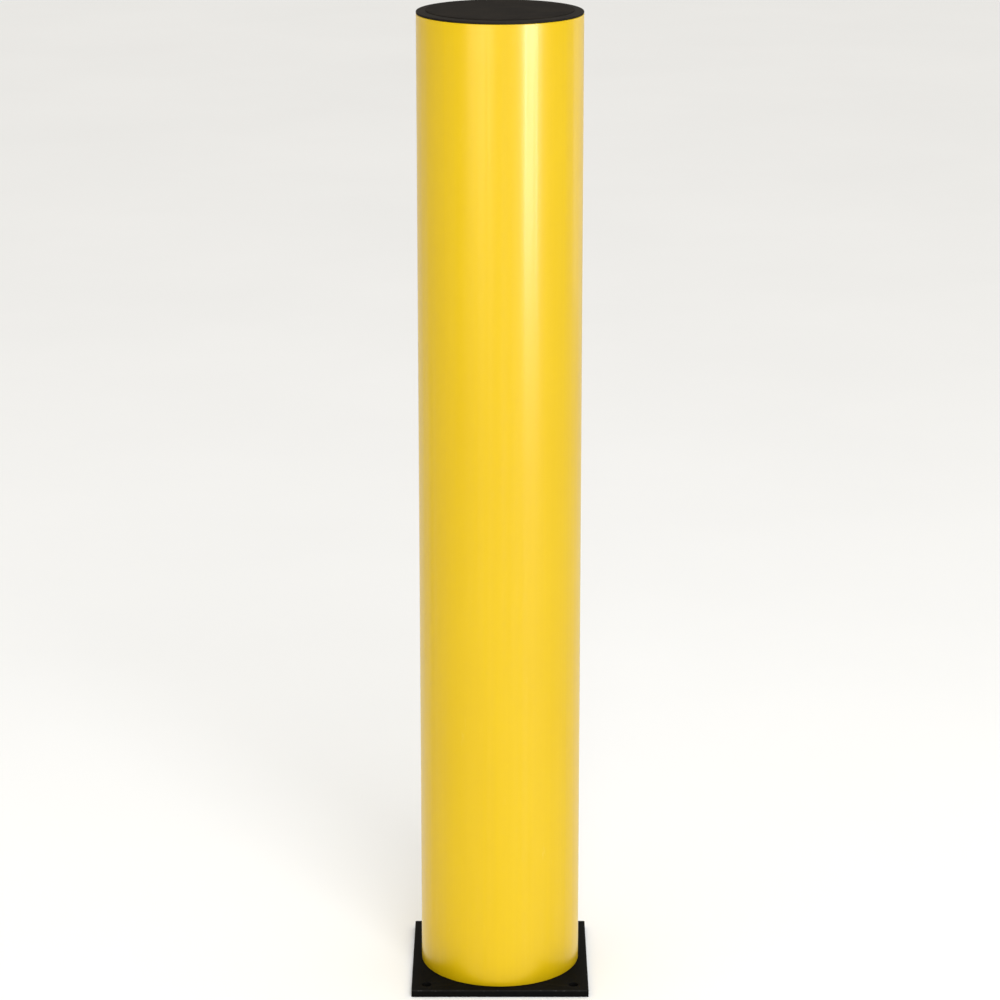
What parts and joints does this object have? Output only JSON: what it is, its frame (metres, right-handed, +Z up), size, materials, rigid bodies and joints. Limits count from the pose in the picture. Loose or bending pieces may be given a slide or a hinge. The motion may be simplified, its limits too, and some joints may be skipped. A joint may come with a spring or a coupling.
{
  "type": "spring-back impact bollard",
  "caption": "Round yellow plastic impact bollard with a black cap on a square bolt-down plate; a sprung tie rod inside lets it rock over on its heel and stand up again.",
  "frame": {"origin": "centre of the base plate's underside, on the floor", "axes": "+Z up along the post; +Y towards the heel that the post rocks on at rest, away from the front; +X to the right seen from the front"},
  "size_m": [0.2, 0.2, 1.1],
  "materials": {
    "tube_yellow": "semi-gloss, extruded, through-coloured",
    "cap_black": "matte moulded, warm black",
    "plate_black": "satin black powder coat",
    "nylon_dark": "glass-filled nylon, moulded",
    "acetal_white": "turned acetal",
    "zinc_steel": "bright zinc plate",
    "dark_steel": "phosphated and oiled steel",
    "bronze": "sintered bronze",
    "spring_black": "black epoxy on spring steel"
  },
  "bodies": {
    "base": {"base_plate": "plate_black", "locating_spigot": "nylon_dark", "spigot_screws": "zinc_steel", "swivel_housing": "dark_steel", "housing_screws": "zinc_steel", "thrust_washer": "bronze"},
    "swivel": {"swivel_clevis": "dark_steel", "clevis_pin": "zinc_steel", "pin_clips": "dark_steel"},
    "post": {"bollard_tube": "tube_yellow", "spring_cup": "zinc_steel", "rod_guide_bush": "acetal_white", "lower_spring_seat": "acetal_white", "stop_sleeve": "zinc_steel", "compression_spring": "spring_black", "top_cap": "cap_black"},
    "rod": {"rod_eye": "dark_steel", "eye_bush": "bronze", "eye_lock_nut": "zinc_steel", "tie_rod": "zinc_steel", "upper_spring_seat": "zinc_steel", "tension_washer": "zinc_steel", "tension_nut": "zinc_steel", "lock_nut": "zinc_steel"}
  },
  "joints": [
    {"name": "swivel_turn", "type": "hinge", "parent": "base", "child": "swivel", "pos_m": [0, 0, 0.0151], "axis": [0, 0, 1], "continuous": true},
    {"name": "tube_tilt", "type": "hinge", "parent": "swivel", "child": "post", "pos_m": [0, 0.09, 0.0083], "axis": [-1, 0, 0], "range_deg": [0, 12], "stiffness_Nm_per_rad": 1280, "springref_deg": -9.68, "deforming": ["compression_spring"]},
    {"name": "rod_tilt", "type": "hinge", "parent": "swivel", "child": "rod", "pos_m": [0, 0, 0.0531], "axis": [-1, 0, 0], "range_deg": [0, 12.55]}
  ],
  "couplings": [
    {"joint": "rod_tilt", "follows": "tube_tilt", "ratio": 1.0416}
  ]
}
